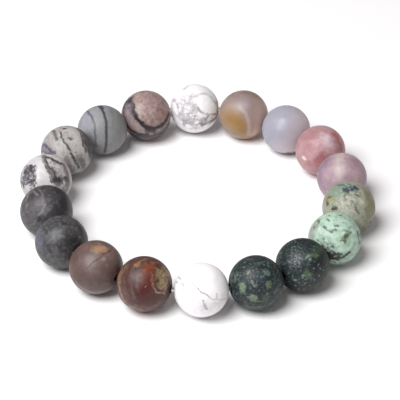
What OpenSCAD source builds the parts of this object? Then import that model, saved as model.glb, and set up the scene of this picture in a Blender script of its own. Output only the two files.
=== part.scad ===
// A stretch bracelet of round, matt stone beads on one loop of clear elastic.
// It lies flat: every bead stands on z = 0, and the middle of the bracelet's box is on the Z axis.
// +Y is the far side, where the first bead is, and the beads run clockwise seen from above.

/* [Beads] */
// Diameter that the beads are sorted to
bead_d = 10; // [8:0.5:12]
// Diameter of the hole through a bead
hole_d = 1.5; // [1.2:0.1:1.8]
// Width of the bevel round each mouth of a hole
bevel_w = 0.25; // [0.1:0.05:0.35]

/* [Elastic] */
// Diameter of the elastic
elastic_d = 0.8; // [0.5:0.1:1]
// Radius of the elastic's bend between two beads
bend_r = 1.2; // [0.8:0.1:1.2]
// Diameter of the knot, hidden in the first bead
knot_d = 1.7; // [1.4:0.1:1.8]
// Length of the knot
knot_length = 3; // [2:0.5:5]
// Diameter of the first bead's hole, wide enough for the knot
knot_hole_d = 2.2; // [2:0.1:2.4]

/* [Ring] */
// Direction of the first bead from the middle of the ring, in degrees
first_bead_angle = 91; // [0:1:359]

/* [Hidden] */
$fn = 64;

// The columns of the table of beads: name and colour of the stone, size over or under bead_d,
// gap to the next bead, and how far the bead sits outside the ring
NAME = 0;
COLOUR = 1;
OVERSIZE = 2;
GAP = 3;
OUT = 4;
beads = [
    ["bead_01_howlite", "whitesmoke", 0, 0.1, 0.6],
    ["bead_02_amber_agate", "rosybrown", -0.1, 0.15, 0.1],
    ["bead_03_grey_agate", "lightsteelblue", -0.3, 0.25, -0.3],
    ["bead_04_rose_agate", "palevioletred", -0.1, 0.25, -0.4],
    ["bead_05_lilac_agate", "thistle", -0.3, 0.2, -0.3],
    ["bead_06_olive_turquoise", "darkkhaki", 0.1, 0.15, 0.1],
    ["bead_07_mint_turquoise", "mediumaquamarine", 0, 0.15, 0.1],
    ["bead_08_speckled_jasper", "darkslategray", -0.1, 0.15, 0],
    ["bead_09_mottled_jasper", "seagreen", 0, 0.15, 0],
    ["bead_10_howlite", "whitesmoke", -0.1, 0.4, 0],
    ["bead_11_red_jasper", "brown", 0.1, 0.15, 0],
    ["bead_12_brown_jasper", "sienna", -0.1, 0.15, 0],
    ["bead_13_charcoal_marble", "dimgray", -0.1, 0.15, 0.1],
    ["bead_14_charcoal_marble", "gray", 0, 0.15, -0.2],
    ["bead_15_dendrite_marble", "gainsboro", 0, 0.1, 0.3],
    ["bead_16_streaked_marble", "silver", 0.2, 0.2, 0.1],
    ["bead_17_banded_marble", "lightslategray", 0, 0.2, -0.3],
    ["bead_18_mauve_marble", "tan", 0.1, 0.1, -0.2],
];

// The knot is in this bead
KNOT_BEAD = 0;
bead_count = len(beads);
// Height of the elastic and of all the holes
elastic_z = bead_d / 2;
// Sides of the elastic's round section
ELASTIC_SIDES = 12;
// Halvings in the search for the ring's radius
SEARCH_STEPS = 40;

function next(i) = (i + 1) % bead_count;
function previous(i) = (i + bead_count - 1) % bead_count;
function diameter(i) = bead_d + beads[i][OVERSIZE];

// Angle from one bead to the next, on a ring of radius r
function spacing(i) = (diameter(i) + diameter(next(i))) / 2 + beads[i][GAP];
function step(i, r) = 2 * asin(spacing(i) / (2 * r));
function whole_turn(r, i = 0) = i == bead_count ? 0 : step(i, r) + whole_turn(r, i + 1);

// The ring is as wide as its beads and gaps need to close it
function closing_radius(low, high, steps) =
    let (middle = (low + high) / 2)
    steps == 0 ? middle
        : whole_turn(middle) > 360 ? closing_radius(middle, high, steps - 1)
        : closing_radius(low, middle, steps - 1);
touching_r = bead_count * bead_d / (2 * PI);
ring_r = closing_radius(0.9 * touching_r, 1.2 * touching_r, SEARCH_STEPS);

// Where each bead is, about the middle of the ring
function angle(i) = i == 0 ? first_bead_angle : angle(i - 1) - step(i - 1, ring_r);
function on_ring(r, a) = [r * cos(a), r * sin(a)];
function ring_place(i) = on_ring(ring_r + beads[i][OUT], angle(i));

// The middle of the bracelet's box is the part's own origin
left = min([for (i = [0:bead_count - 1]) ring_place(i).x - diameter(i) / 2]);
right = max([for (i = [0:bead_count - 1]) ring_place(i).x + diameter(i) / 2]);
front = min([for (i = [0:bead_count - 1]) ring_place(i).y - diameter(i) / 2]);
back = max([for (i = [0:bead_count - 1]) ring_place(i).y + diameter(i) / 2]);
box_middle = [(left + right) / 2, (front + back) / 2];
function place(i) = ring_place(i) - box_middle;

// The elastic runs straight through a bead and bends at a corner between each two beads
function corner_r(i) = ring_r + (beads[i][OUT] + beads[next(i)][OUT]) / 2;
function corner(i) =
    let (half_step = step(i, ring_r) / 2)
    on_ring(corner_r(i) / cos(half_step), angle(i) - half_step) - box_middle;
function run(i) = corner(i) - corner(previous(i));
function heading(i) = atan2(run(i).y, run(i).x);
// The elastic turns clockwise by this much at the corner after a bead
function bend_turn(i) = (heading(i) - heading(next(i)) + 360) % 360;
// The bend takes this much of the run on each side of its corner
function bend_reach(i) = bend_r * tan(bend_turn(i) / 2);
// The point of a bead's run that is nearest to the middle of the bead
function run_middle(i) =
    let (along = run(i) / norm(run(i)))
    corner(previous(i)) + along * ((place(i) - corner(previous(i))) * along);

// Puts what stands on the Z axis on a point of the elastic, pointing along it
module on_elastic(point, direction) {
    translate([point.x, point.y, elastic_z])
        rotate([0, 90, direction])
            children();
}

// A hole and its two bevelled mouths, longer than the bead
module hole_cutter(d, bead_size) {
    mouth = sqrt(pow(bead_size / 2, 2) - pow(d / 2, 2));
    reach = mouth + 2 * bevel_w;
    narrow = d / 2;
    wide = narrow + 3 * bevel_w;
    rotate_extrude()
        polygon([
            [0, -reach],
            [wide, -reach],
            [narrow, bevel_w - mouth],
            [narrow, mouth - bevel_w],
            [wide, reach],
            [0, reach],
        ]);
}

// One drilled bead, resting on z = 0. Its hole follows the elastic, so it may be a little off
// the bead's middle, as in a bead drilled by hand. The ball is turned with the ring.
module bead(i) {
    size = diameter(i);
    color(beads[i][COLOUR])
        difference() {
            translate([place(i).x, place(i).y, size / 2])
                rotate(angle(i))
                    sphere(d = size);
            on_elastic(run_middle(i), heading(i))
                hole_cutter(i == KNOT_BEAD ? knot_hole_d : hole_d, size);
        }
}

// One ring of the elastic's surface: round a point of its path, square to its direction there
function elastic_ring(point, direction, r) =
    let (outward = on_ring(r, direction + 90))
    [for (side = [0:ELASTIC_SIDES - 1])
        let (turn = 360 * side / ELASTIC_SIDES)
        [point.x + outward.x * cos(turn), point.y + outward.y * cos(turn), elastic_z + r * sin(turn)]];

// The rings of the bend after a bead, at its start, middle and end
function bend_rings(i) =
    let (start = corner(i) - bend_reach(i) * run(i) / norm(run(i)))
    let (centre = start + on_ring(bend_r, heading(i) - 90))
    [for (turned = [0, 0.5, 1] * bend_turn(i))
        elastic_ring(
            centre + on_ring(bend_r, heading(i) + 90 - turned),
            heading(i) - turned,
            elastic_d / 2
        )];

// The knot is a short spindle. Its sections: place from one end, at -1, to the other, and width
knot_profile = [[-1, elastic_d], [-0.5, knot_d], [0.5, knot_d], [1, elastic_d]];
function knot_rings() =
    let (direction = heading(KNOT_BEAD))
    [for (section = knot_profile)
        elastic_ring(
            run_middle(KNOT_BEAD) + on_ring(section[0] * knot_length / 2, direction),
            direction,
            section[1] / 2
        )];

// The whole loop of elastic, with its knot
module elastic_cord() {
    rings = concat(knot_rings(), [for (i = [0:bead_count - 1]) each bend_rings(i)]);
    ring_count = len(rings);
    function vertex(ring, side) = (ring % ring_count) * ELASTIC_SIDES + side % ELASTIC_SIDES;
    faces = [for (ring = [0:ring_count - 1], side = [0:ELASTIC_SIDES - 1]) [
        vertex(ring, side),
        vertex(ring, side + 1),
        vertex(ring + 1, side + 1),
        vertex(ring + 1, side),
    ]];
    color("lightcyan")
        polyhedron(points = [for (ring = rings) each ring], faces = faces);
}

for (i = [0:bead_count - 1])
    bead(i);
elastic_cord();
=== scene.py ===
"""A stretch bracelet of eighteen matt stone beads on one loop of clear elastic.

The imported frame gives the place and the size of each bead. A drilled ball is modelled for each size
of hole, copied to the places of the beads, and each copy is painted as its own stone.
"""

import math

import bpy
from mathutils import Matrix, Vector


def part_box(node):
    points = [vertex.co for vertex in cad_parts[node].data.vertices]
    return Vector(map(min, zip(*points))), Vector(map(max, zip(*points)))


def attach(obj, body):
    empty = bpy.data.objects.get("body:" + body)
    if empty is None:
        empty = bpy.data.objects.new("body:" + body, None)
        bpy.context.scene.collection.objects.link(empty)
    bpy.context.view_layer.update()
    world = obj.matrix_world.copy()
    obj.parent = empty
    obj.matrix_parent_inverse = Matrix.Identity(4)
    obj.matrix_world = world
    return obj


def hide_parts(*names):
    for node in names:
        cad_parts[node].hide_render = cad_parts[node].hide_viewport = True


MM = 0.001
MM_IN_METRE = 1000

# The photograph's view: a long lens over the near side of the ring, turned a little
PHOTO_PIXELS = 400
FOCAL_PIXELS = 1908
SENSOR_WIDTH = 36.0
CAMERA_ELEVATION = math.radians(36.22)
CAMERA_ROLL = math.radians(0.39)
CAMERA_DISTANCE = 366.6 * MM
# The camera aims at a point this far right of the ring's middle and above it in the picture
AIM_RIGHT = 0.75 * MM
AIM_UP = -1.33 * MM
# Nothing nearer to the camera than this is drawn
NEAREST_DRAWN = 10 * MM

# Light: a large soft lamp almost overhead, a little to the left, in a dim room
KEY_DIRECTION = Vector((-0.42, -0.34, 0.84))
KEY_DISTANCE = 0.6
KEY_SIZE = 0.45
KEY_POWER = 4.9
ROOM_LIGHT = 0.26
ROOM_COLOUR = (1.0, 0.93, 0.91)

# The white table
FLOOR_SIZE = 6.0
FLOOR_COLOUR = (0.92, 0.92, 0.93)
FLOOR_ROUGHNESS = 0.9
FLOOR_SHINE = 0.1

# The drilled bead that is copied
BEAD_R = 5 * MM
HOLE_R = 0.75 * MM
KNOT_HOLE_R = 1.1 * MM
RIM_WIDTH = 0.25 * MM
RIM_STEPS = 4
BEAD_SIDES = 160
BORE_STEPS = 8
# What is nearer to a hole's wall than this is its rounded rim, and moves with the hole
RIM_REACH = 1.2 * RIM_WIDTH
# The surface round a hole follows the hole's shift as far as this from its edge
SHIFT_REACH = 2 * MM
# Less than the smallest step of the mesh
CLOSE = 1e-7

# The elastic and its knot, which the first bead hides
ELASTIC_R = 0.4 * MM
ELASTIC_BEND = 1.2 * MM
# The handles of a bend's curve, as a share of the way to its corner
BEND_HANDLE = 0.66
# Straight steps that a bend is made of
BEND_STEPS = 8
KNOT_BEAD = "bead_01_howlite"
KNOT_LENGTH = 3 * MM
KNOT_STRAND_R = 0.22 * MM
KNOT_TURNS = 5
KNOT_STEPS_PER_TURN = 24
# Each end of the knot's strand is tucked in over one part in this many of its length
KNOT_TUCK = 6
# Fineness of a quarter of the round section of the elastic, and of the knot's strand
ELASTIC_ROUNDNESS = 6
KNOT_ROUNDNESS = 3
# The elastic is glassy, with duller and whiter cloudy stretches
ELASTIC_IOR = 1.5
CLOUD_SIZE = 0.8 * MM
CLEAR_ROUGHNESS = 0.08
CLOUDY_ROUGHNESS = 0.25
CLEAR_COLOUR = (0.7, 0.72, 0.74)
CLOUDY_COLOUR = (0.85, 0.87, 0.88)

# Most of a noise texture lies between the first two levels, round the third
NOISE_LOW = 0.3
NOISE_HIGH = 0.7
NOISE_MIDDLE = 0.5

# Grain of the stones' matt skin, the depth of its relief, and how much its gloss varies
FINE_GRAIN = 0.12 * MM
COARSE_GRAIN = 0.5 * MM
RELIEF = 0.05 * MM
RELIEF_STRENGTH = 0.25
GLOSS_SPREAD = 0.25
# The coarse grain is this many times as deep as the fine grain
COARSE_DEPTH = 2.0

# Marks are bent twice, the second time this many times finer and this many times less far
FINER_BEND = 5
SMALLER_BEND = 3
# The notches in the edges of marks and the waves of their width, in the bead's radii
NOTCH_SIZE = 0.12
WAVE_SIZE = 0.3
# Least and most width of a mark along its way, as shares of its own
THINNEST = 0.55
WIDEST = 1.45
# A mark has this share of its strength where the waves are low, and all of it where they are high
FAINTEST = 0.5
FAINT_WAVE = 0.25
FULL_WAVE = 0.6
# The noise of cloudy patches starts at this level and spans this much
PATCHES_LOW = 0.25
PATCHES_SPAN = 0.5
# The crooks of a web's veins, in its cells: their size and how far they go
CROOK_SIZE = 0.6
CROOK_REACH = 0.9
# Least and most width of a web's veins, as shares of their own
THINNEST_VEIN = 0.3
WIDEST_VEIN = 1.7
# A speck is full as far out as this share of its radius
SPECK_CORE = 0.5
# How far towards the camera the unseen side starts and where it is full, in radii from the middle
UNSEEN_START = 0.3
UNSEEN_FULL = -0.1

# How much deeper a paint is mixed than it looks, as a power of its light
PAINT_DEPTH = 1.15
# How far light runs under the surface of the stones that let it in
GLOW_DEPTH = 4 * MM


def deselect():
    """Leaves edit mode and selects nothing."""
    if bpy.context.object and bpy.context.object.mode != "OBJECT":
        bpy.ops.object.mode_set(mode="OBJECT")
    bpy.ops.object.select_all(action="DESELECT")


def pick(piece):
    """Selects one piece alone and makes it the active one."""
    deselect()
    piece.select_set(True)
    bpy.context.view_layer.objects.active = piece


def settle(piece):
    """Puts a piece's place, turn and size into its mesh."""
    pick(piece)
    bpy.ops.object.transform_apply(location=True, rotation=True, scale=True)


def copy_piece(piece, name):
    """A copy of a piece with a mesh of its own."""
    copy = piece.copy()
    copy.data = piece.data.copy()
    copy.name = name
    copy.data.name = name
    bpy.context.collection.objects.link(copy)
    return copy


# Camera, light and floor


def camera_axes():
    """The photograph's right, up and back directions, before the camera's roll."""
    right = Vector((1, 0, 0))
    back = Vector((0, -math.cos(CAMERA_ELEVATION), math.sin(CAMERA_ELEVATION)))
    return right, back.cross(right), back


def camera_place():
    """Where the photograph was taken from."""
    right, up, back = camera_axes()
    aim = Vector((0, 0, BEAD_R)) + right * AIM_RIGHT + up * AIM_UP
    return aim + back * CAMERA_DISTANCE


def add_camera():
    right, up, back = camera_axes()
    rolled_right = right * math.cos(CAMERA_ROLL) + up * math.sin(CAMERA_ROLL)
    rolled_up = up * math.cos(CAMERA_ROLL) - right * math.sin(CAMERA_ROLL)
    turn = Matrix((rolled_right, rolled_up, back)).transposed()
    data = bpy.data.cameras.new("photo_camera")
    data.sensor_width = SENSOR_WIDTH
    data.lens = FOCAL_PIXELS * SENSOR_WIDTH / PHOTO_PIXELS
    data.clip_start = NEAREST_DRAWN
    camera = bpy.data.objects.new("photo_camera", data)
    bpy.context.collection.objects.link(camera)
    camera.matrix_world = Matrix.Translation(camera_place()) @ turn.to_4x4()
    bpy.context.scene.camera = camera


def add_key_light():
    data = bpy.data.lights.new("key_light", "AREA")
    data.shape = "DISK"
    data.size = KEY_SIZE
    data.energy = KEY_POWER
    lamp = bpy.data.objects.new("key_light", data)
    bpy.context.collection.objects.link(lamp)
    lamp.location = KEY_DIRECTION.normalized() * KEY_DISTANCE
    lamp.rotation_mode = "QUATERNION"
    lamp.rotation_quaternion = KEY_DIRECTION.to_track_quat("Z", "Y")


def add_room():
    """The room's dim light, which the camera sees as a pale backdrop."""
    world = bpy.data.worlds.new("room")
    bpy.context.scene.world = world
    world.use_nodes = True
    tree = world.node_tree
    tree.nodes.clear()
    path = tree.nodes.new("ShaderNodeLightPath")
    strength = tree.nodes.new("ShaderNodeMapRange")
    strength.inputs["To Min"].default_value = ROOM_LIGHT
    strength.inputs["To Max"].default_value = 1.0
    tree.links.new(path.outputs["Is Camera Ray"], strength.inputs["Value"])
    shine = tree.nodes.new("ShaderNodeBackground")
    shine.inputs["Color"].default_value = (*ROOM_COLOUR, 1)
    tree.links.new(strength.outputs["Result"], shine.inputs["Strength"])
    out = tree.nodes.new("ShaderNodeOutputWorld")
    tree.links.new(shine.outputs["Background"], out.inputs["Surface"])


def add_floor():
    deselect()
    bpy.ops.mesh.primitive_plane_add(size=FLOOR_SIZE)
    floor = bpy.context.object
    floor.name = "floor"
    material = bpy.data.materials.new("white_table")
    material.use_nodes = True
    surface = material.node_tree.nodes["Principled BSDF"]
    surface.inputs["Base Color"].default_value = (*FLOOR_COLOUR, 1)
    surface.inputs["Roughness"].default_value = FLOOR_ROUGHNESS
    surface.inputs["Specular IOR Level"].default_value = FLOOR_SHINE
    floor.data.materials.append(material)


# Beads


def drilled_ball(name, hole_r):
    """A ball about the origin with a hole along X. The rims of its mouths are rounded."""
    deselect()
    bpy.ops.mesh.primitive_uv_sphere_add(
        segments=BEAD_SIDES, ring_count=BEAD_SIDES // 2, radius=BEAD_R, rotation=(0, math.pi / 2, 0)
    )
    ball = bpy.context.object
    ball.name = name
    settle(ball)

    # The caps are cut off and the two round openings joined by the hole's wall
    mouth_x = math.sqrt(BEAD_R**2 - hole_r**2)
    bpy.ops.object.mode_set(mode="EDIT")
    bpy.ops.mesh.select_mode(type="EDGE")
    for side in (1, -1):
        bpy.ops.mesh.select_all(action="SELECT")
        bpy.ops.mesh.bisect(
            plane_co=(side * mouth_x, 0, 0), plane_no=(side, 0, 0), clear_outer=True, threshold=CLOSE
        )
    bpy.ops.mesh.select_all(action="DESELECT")
    bpy.ops.mesh.select_non_manifold()
    bpy.ops.mesh.bridge_edge_loops(number_cuts=BORE_STEPS)

    # The edges of the mouths are rounded
    bpy.ops.mesh.select_all(action="DESELECT")
    bpy.ops.object.mode_set(mode="OBJECT")
    points = ball.data.vertices
    for edge in ball.data.edges:
        edge.select = all(abs(abs(points[i].co.x) - mouth_x) < CLOSE for i in edge.vertices)
    bpy.ops.object.mode_set(mode="EDIT")
    bpy.ops.mesh.bevel(offset=RIM_WIDTH, segments=RIM_STEPS, affect="EDGES")
    bpy.ops.object.mode_set(mode="OBJECT")
    bpy.ops.object.shade_smooth()
    return ball


def shift_hole(ball, hole_r, shift):
    """Moves a ball's hole sideways and keeps the outside of the ball round."""
    outside = []
    for point in ball.data.vertices:
        in_hole = math.hypot(point.co.y, point.co.z) < hole_r + RIM_REACH
        point.select = in_hole
        if not in_hole:
            outside.append(point.index)
    for edge in ball.data.edges:
        edge.select = False
    for face in ball.data.polygons:
        face.select = False
    pick(ball)
    bpy.ops.object.mode_set(mode="EDIT")
    bpy.ops.mesh.select_mode(type="VERT")
    bpy.ops.transform.translate(
        value=shift,
        use_proportional_edit=True,
        proportional_edit_falloff="SMOOTH",
        proportional_size=SHIFT_REACH,
    )
    bpy.ops.object.mode_set(mode="OBJECT")
    for i in outside:
        point = ball.data.vertices[i]
        point.co = point.co.normalized() * BEAD_R


class Bead:
    """Where the frame has a bead, and the straight run of elastic through it."""

    def __init__(self, name):
        low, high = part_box(name)
        self.name = name
        self.middle = (low + high) / 2
        self.r = (high.z - low.z) / 2

    def has_knot(self):
        return self.name == KNOT_BEAD

    def thread(self, before, after):
        """Takes the corners of the elastic before and after the bead."""
        self.run = (after - before).normalized()
        self.run_middle = before + self.run * (self.middle - before).dot(self.run)


def elastic_corner(points, bead, next_bead):
    """Where the elastic turns between two beads, which is the middle of the frame's bend there."""
    gap = (bead.middle + next_bead.middle) / 2
    bend = [point for point in points if (point - gap).length < ELASTIC_BEND]
    return sum(bend, Vector()) / len(bend)


def make_bead(bead, ball, hole_r):
    """One bead in its place, with its hole along the elastic."""
    piece = copy_piece(ball, "stone_" + bead.name)
    across = Vector((0, 0, 1)).cross(bead.run)
    offset = (bead.run_middle - bead.middle) * (BEAD_R / bead.r)
    shift_hole(piece, hole_r, (0, offset.dot(across), offset.z))
    piece.rotation_euler = (0, 0, math.atan2(bead.run.y, bead.run.x))
    piece.scale = (bead.r / BEAD_R,) * 3
    piece.location = bead.middle
    settle(piece)
    return piece


# Elastic


def bend_points(corner, before, after):
    """Where a bend starts and ends, on the straight runs before and after its corner."""
    turn = before.angle(after)
    reach = ELASTIC_BEND * math.tan(turn / 2)
    return corner - before * reach, corner + after * reach


def elastic_loop(beads, corners):
    """The closed loop of elastic: straight through each bead, and round at each corner."""
    curve = bpy.data.curves.new("elastic", "CURVE")
    curve.dimensions = "3D"
    curve.bevel_depth = ELASTIC_R
    curve.bevel_resolution = ELASTIC_ROUNDNESS
    curve.resolution_u = BEND_STEPS
    spline = curve.splines.new("BEZIER")
    spline.bezier_points.add(2 * len(beads) - 1)
    spline.use_cyclic_u = True
    for i, bead in enumerate(beads):
        following = beads[(i + 1) % len(beads)]
        start, end = bend_points(corners[i], bead.run, following.run)
        handle = (corners[i] - start).length * BEND_HANDLE
        for k, (place, run) in enumerate(((start, bead.run), (end, following.run))):
            point = spline.bezier_points[2 * i + k]
            point.co = place
            point.handle_left_type = "FREE"
            point.handle_right_type = "FREE"
            point.handle_left = place - run * handle
            point.handle_right = place + run * handle
    return curve_to_mesh(curve, "elastic_loop")


def knot_wrap(bead):
    """The turns of the knot, wound round the elastic in the middle of the bead that hides it."""
    curve = bpy.data.curves.new("knot", "CURVE")
    curve.dimensions = "3D"
    curve.bevel_depth = KNOT_STRAND_R
    curve.bevel_resolution = KNOT_ROUNDNESS
    spline = curve.splines.new("POLY")
    steps = KNOT_TURNS * KNOT_STEPS_PER_TURN
    spline.points.add(steps)
    across = Vector((0, 0, 1)).cross(bead.run)
    for step in range(steps + 1):
        share = step / steps
        turn = 2 * math.pi * KNOT_TURNS * share
        # The two ends are tucked in against the elastic
        r = ELASTIC_R + KNOT_STRAND_R * min(1, KNOT_TUCK * share, KNOT_TUCK * (1 - share))
        along = (share - 0.5) * (KNOT_LENGTH - 2 * KNOT_STRAND_R)
        place = bead.run_middle + bead.run * along + across * (r * math.cos(turn))
        spline.points[step].co = (*(place + Vector((0, 0, r * math.sin(turn)))), 1)
    curve.use_fill_caps = True
    return curve_to_mesh(curve, "knot_wrap")


def curve_to_mesh(curve, name):
    piece = bpy.data.objects.new(name, curve)
    bpy.context.collection.objects.link(piece)
    pick(piece)
    bpy.ops.object.convert(target="MESH")
    bpy.ops.object.shade_smooth()
    return bpy.context.object


def make_elastic(beads, corners):
    """The loop of elastic and its knot, as one piece."""
    loop = elastic_loop(beads, corners)
    knot = knot_wrap(next(bead for bead in beads if bead.has_knot()))
    pick(loop)
    knot.select_set(True)
    bpy.ops.object.join()
    loop.name = "clear_elastic"
    return loop


def clear_elastic_material():
    """Clear stretchy plastic, a little cloudy, with clearer and duller stretches along it."""
    material = bpy.data.materials.new("clear_elastic")
    material.use_nodes = True
    tree = material.node_tree
    surface = tree.nodes["Principled BSDF"]
    surface.inputs["Transmission Weight"].default_value = 1.0
    surface.inputs["IOR"].default_value = ELASTIC_IOR
    coordinates = tree.nodes.new("ShaderNodeTexCoord").outputs["Object"]
    cloudy = noise(tree, coordinates, CLOUD_SIZE).outputs["Fac"]
    roughness = ramp(tree, cloudy, NOISE_LOW, NOISE_HIGH, CLEAR_ROUGHNESS, CLOUDY_ROUGHNESS)
    tree.links.new(roughness, surface.inputs["Roughness"])
    mix = tree.nodes.new("ShaderNodeMix")
    mix.data_type = "RGBA"
    tree.links.new(cloudy, mix.inputs["Factor"])
    mix.inputs["A"].default_value = (*CLEAR_COLOUR, 1)
    mix.inputs["B"].default_value = (*CLOUDY_COLOUR, 1)
    tree.links.new(mix.outputs["Result"], surface.inputs["Base Color"])
    return material


# Shader pieces that the stones share


def feed(tree, socket, value):
    """Gives an input a value, or the output of another node."""
    if isinstance(value, bpy.types.NodeSocket):
        tree.links.new(value, socket)
    else:
        socket.default_value = value


def calculate(tree, operation, first, second=0.0, third=0.0):
    """Works on numbers, each a value or the output of another node."""
    node = tree.nodes.new("ShaderNodeMath")
    node.operation = operation
    for socket, value in zip(node.inputs, (first, second, third)):
        feed(tree, socket, value)
    return node.outputs[0]


def vector_math(tree, operation, first, second=(0, 0, 0)):
    """Works on vectors. A number counts for all three parts of one."""
    node = tree.nodes.new("ShaderNodeVectorMath")
    node.operation = operation
    feed(tree, node.inputs[0], first)
    feed(tree, node.inputs[1], (second,) * 3 if isinstance(second, float) else second)
    gives_number = operation in ("DOT_PRODUCT", "DISTANCE")
    return node.outputs["Value" if gives_number else "Vector"]


def ramp(tree, value, start, end, low=0.0, high=1.0):
    """Runs smoothly from low to high as a value goes from start to end."""
    node = tree.nodes.new("ShaderNodeMapRange")
    node.interpolation_type = "SMOOTHSTEP"
    names = ("Value", "From Min", "From Max", "To Min", "To Max")
    for name, number in zip(names, (value, start, end, low, high)):
        feed(tree, node.inputs[name], number)
    return node.outputs["Result"]


def noise(tree, place, size, detail=2.0):
    """A noise texture whose lumps have a size in the units of the place."""
    node = tree.nodes.new("ShaderNodeTexNoise")
    feed(tree, node.inputs["Vector"], vector_math(tree, "DIVIDE", place, size))
    node.inputs["Scale"].default_value = 1.0
    node.inputs["Detail"].default_value = detail
    return node


def new_group(name, inputs, outputs):
    """An empty node group with named inputs and outputs, and the sockets that its nodes join."""
    group = bpy.data.node_groups.new(name, "ShaderNodeTree")
    kinds = {"place": "NodeSocketVector", "number": "NodeSocketFloat"}
    for title, kind in inputs.items():
        group.interface.new_socket(title, in_out="INPUT", socket_type=kinds[kind])
    for title, kind in outputs.items():
        group.interface.new_socket(title, in_out="OUTPUT", socket_type=kinds[kind])
    source = group.nodes.new("NodeGroupInput")
    result = group.nodes.new("NodeGroupOutput")
    return group, source.outputs, result.inputs


def make_bend_group():
    """Bends a place on the ball, so that marks painted there have natural edges."""
    group, given, result = new_group(
        "bent place", {"Place": "place", "Size": "number", "Bend": "number"}, {"Place": "place"}
    )
    lumps = noise(group, given["Place"], given["Size"])
    shift = vector_math(group, "SUBTRACT", lumps.outputs["Color"], NOISE_MIDDLE)
    shift = vector_math(group, "MULTIPLY", shift, given["Bend"])
    bent = vector_math(group, "NORMALIZE", vector_math(group, "ADD", given["Place"], shift))
    group.links.new(bent, result["Place"])
    return group


def make_stroke_group():
    """How far a place on the ball is from a stroke between two points of the ball."""
    group, given, result = new_group(
        "stroke distance", {"Place": "place", "Start": "place", "End": "place"}, {"Distance": "number"}
    )
    along = vector_math(group, "SUBTRACT", given["End"], given["Start"])
    reach = vector_math(group, "SUBTRACT", given["Place"], given["Start"])
    share = calculate(
        group,
        "DIVIDE",
        vector_math(group, "DOT_PRODUCT", reach, along),
        vector_math(group, "DOT_PRODUCT", along, along),
    )
    share.node.use_clamp = True
    nearest = vector_math(group, "ADD", given["Start"], vector_math(group, "MULTIPLY", along, share))
    nearest = vector_math(group, "NORMALIZE", nearest)
    group.links.new(vector_math(group, "DISTANCE", given["Place"], nearest), result["Distance"])
    return group


def make_brush_group():
    """Turns a distance into a mark with a soft, ragged edge, wider in some places than in others."""
    group, given, result = new_group(
        "brush mark",
        {
            "Distance": "number",
            "Width": "number",
            "Softness": "number",
            "Grain": "number",
            "Ragged": "number",
            "Swell": "number",
        },
        {"Mask": "number"},
    )
    rough = calculate(group, "MULTIPLY_ADD", given["Grain"], given["Ragged"], given["Distance"])
    width = calculate(group, "MULTIPLY", given["Width"], given["Swell"])
    outer = calculate(group, "ADD", width, given["Softness"])
    inner = calculate(group, "SUBTRACT", width, given["Softness"])
    group.links.new(ramp(group, rough, inner, outer, 1.0, 0.0), result["Mask"])
    return group


def make_lumps_group():
    """Cloudy patches of a size, which cover about a share of the stone."""
    group, given, result = new_group(
        "cloudy patches",
        {"Place": "place", "Size": "number", "Cover": "number", "Softness": "number", "Seed": "place"},
        {"Mask": "number"},
    )
    moved = vector_math(group, "ADD", given["Place"], given["Seed"])
    lumps = noise(group, moved, given["Size"], detail=4.0)
    level = calculate(group, "SUBTRACT", 1.0, given["Cover"])
    level = calculate(group, "MULTIPLY_ADD", level, PATCHES_SPAN, PATCHES_LOW)
    low = calculate(group, "SUBTRACT", level, given["Softness"])
    high = calculate(group, "ADD", level, given["Softness"])
    group.links.new(ramp(group, lumps.outputs["Fac"], low, high), result["Mask"])
    return group


def make_web_group():
    """A web of crooked veins between cells of a size, wider in some places than in others."""
    group, given, result = new_group(
        "vein web",
        {"Place": "place", "Size": "number", "Width": "number", "Seed": "place"},
        {"Mask": "number"},
    )
    moved = vector_math(group, "ADD", given["Place"], given["Seed"])
    crooks = noise(group, moved, calculate(group, "MULTIPLY", given["Size"], CROOK_SIZE), detail=3.0)
    crook = vector_math(group, "SUBTRACT", crooks.outputs["Color"], NOISE_MIDDLE)
    crook = vector_math(group, "MULTIPLY", crook, CROOK_REACH)
    cells = group.nodes.new("ShaderNodeTexVoronoi")
    cells.feature = "DISTANCE_TO_EDGE"
    cells.inputs["Scale"].default_value = 1.0
    bent = vector_math(group, "ADD", vector_math(group, "DIVIDE", moved, given["Size"]), crook)
    group.links.new(bent, cells.inputs["Vector"])
    swell = ramp(group, crooks.outputs["Fac"], NOISE_LOW, NOISE_HIGH, THINNEST_VEIN, WIDEST_VEIN)
    width = calculate(group, "MULTIPLY", given["Width"], swell)
    edge = calculate(group, "DIVIDE", width, given["Size"])
    group.links.new(ramp(group, cells.outputs["Distance"], 0.0, edge, 1.0, 0.0), result["Mask"])
    return group


def make_specks_group():
    """Round specks of many sizes. Share is how much of its cell the largest speck fills."""
    group, given, result = new_group(
        "specks",
        {"Place": "place", "Size": "number", "Share": "number", "Seed": "place"},
        {"Mask": "number"},
    )
    cells = group.nodes.new("ShaderNodeTexVoronoi")
    cells.inputs["Scale"].default_value = 1.0
    moved = vector_math(group, "ADD", given["Place"], given["Seed"])
    feed(group, cells.inputs["Vector"], vector_math(group, "DIVIDE", moved, given["Size"]))
    chance = group.nodes.new("ShaderNodeSeparateColor")
    group.links.new(cells.outputs["Color"], chance.inputs["Color"])
    radius = calculate(group, "MULTIPLY", chance.outputs["Red"], given["Share"])
    core = calculate(group, "MULTIPLY", radius, SPECK_CORE)
    group.links.new(ramp(group, cells.outputs["Distance"], core, radius, 1.0, 0.0), result["Mask"])
    return group


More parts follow.
